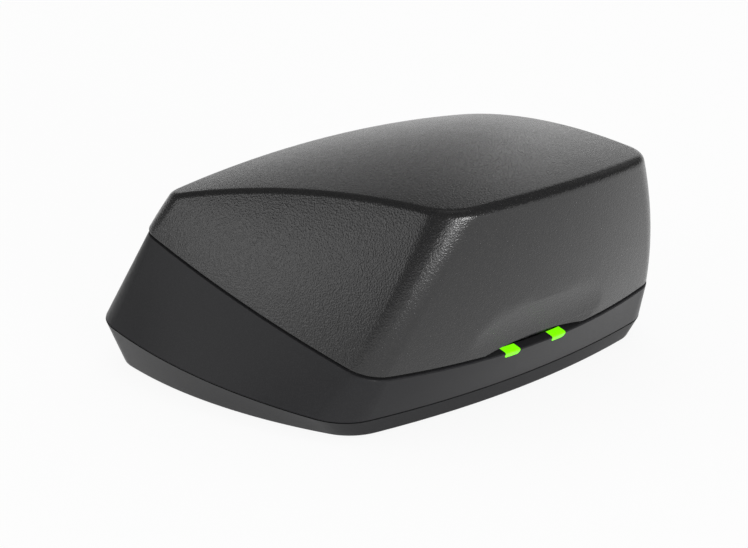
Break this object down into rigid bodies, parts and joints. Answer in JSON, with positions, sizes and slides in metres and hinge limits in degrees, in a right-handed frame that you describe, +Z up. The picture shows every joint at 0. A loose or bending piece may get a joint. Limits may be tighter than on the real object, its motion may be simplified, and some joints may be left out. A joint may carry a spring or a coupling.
{
  "type": "hearing aid charger",
  "caption": "Low charging case with a sloping hinged lid, wells with sprung contacts for a pair of behind-the-ear hearing aids and lit indicators in its front rim.",
  "frame": {"origin": "on the surface the case stands on, under the middle of its outer box", "axes": "+X to the right seen from the front, +Y to the hinge at the back, +Z up"},
  "size_m": [0.11, 0.0906, 0.0489],
  "materials": {
    "housing": "satin moulded charcoal",
    "lid": "fine-grained moulded charcoal",
    "deck": "matte black",
    "liner": "soft black",
    "marker_left": "blue",
    "marker_right": "red",
    "insulator": "black",
    "gold": "gold plated",
    "steel": "plain",
    "board": "green solder mask",
    "chip": "black",
    "ceramic_chip": "tan",
    "light": "lit green",
    "light_pipe": "lit green",
    "rubber": "matte",
    "pad": "soft foam",
    "magnet": "nickel plated"
  },
  "bodies": {
    "base": {"base_housing": "housing", "bottom_cover": "housing", "cradle_deck": "deck", "charging_cup_left": "deck", "charging_cup_right": "deck", "receiver_tray": "deck", "well_liner_left": "liner", "well_liner_right": "liner", "side_marker_left": "marker_left", "side_marker_right": "marker_right", "contact_block_left": "insulator", "contact_block_right": "insulator", "pin_barrels": "gold", "main_board": "board", "controller_chip": "chip", "inductor": "chip", "capacitors": "ceramic_chip", "led_left": "light", "led_right": "light", "light_pipe_left": "light_pipe", "light_pipe_right": "light_pipe", "light_block": "insulator", "inlet_shell": "steel", "inlet_core": "insulator", "cover_screws": "steel", "board_screws": "steel", "foot_front_left": "rubber", "foot_front_right": "rubber", "foot_rear_left": "rubber", "foot_rear_right": "rubber", "hinge_pin": "steel", "base_magnet_left": "magnet", "base_magnet_right": "magnet", "pin_spring_left_front": "steel", "pin_spring_left_rear": "steel", "pin_spring_right_front": "steel", "pin_spring_right_rear": "steel"},
    "lid": {"lid_shell": "lid", "lid_liner": "deck", "hold_down_pad_left": "pad", "hold_down_pad_right": "pad", "lid_magnet_left": "magnet", "lid_magnet_right": "magnet", "liner_screws": "steel"},
    "pin_left_front": {"contact_pin_left_front": "gold"},
    "pin_left_rear": {"contact_pin_left_rear": "gold"},
    "pin_right_front": {"contact_pin_right_front": "gold"},
    "pin_right_rear": {"contact_pin_right_rear": "gold"}
  },
  "joints": [
    {"name": "lid_hinge", "type": "hinge", "parent": "base", "child": "lid", "pos_m": [0, 0.0358, 0.03127], "axis": [-1, 0, 0], "range_deg": [0, 100]},
    {"name": "pin_slide_left_front", "type": "slide", "parent": "base", "child": "pin_left_front", "axis": [0, 0, 1], "range_m": [-0.0008, 0], "stiffness_N_per_m": 500, "springref_m": 0.0004, "deforming": ["pin_spring_left_front"]},
    {"name": "pin_slide_left_rear", "type": "slide", "parent": "base", "child": "pin_left_rear", "axis": [0, 0, 1], "range_m": [-0.0008, 0], "stiffness_N_per_m": 500, "springref_m": 0.0004, "deforming": ["pin_spring_left_rear"]},
    {"name": "pin_slide_right_front", "type": "slide", "parent": "base", "child": "pin_right_front", "axis": [0, 0, 1], "range_m": [-0.0008, 0], "stiffness_N_per_m": 500, "springref_m": 0.0004, "deforming": ["pin_spring_right_front"]},
    {"name": "pin_slide_right_rear", "type": "slide", "parent": "base", "child": "pin_right_rear", "axis": [0, 0, 1], "range_m": [-0.0008, 0], "stiffness_N_per_m": 500, "springref_m": 0.0004, "deforming": ["pin_spring_right_rear"]}
  ]
}
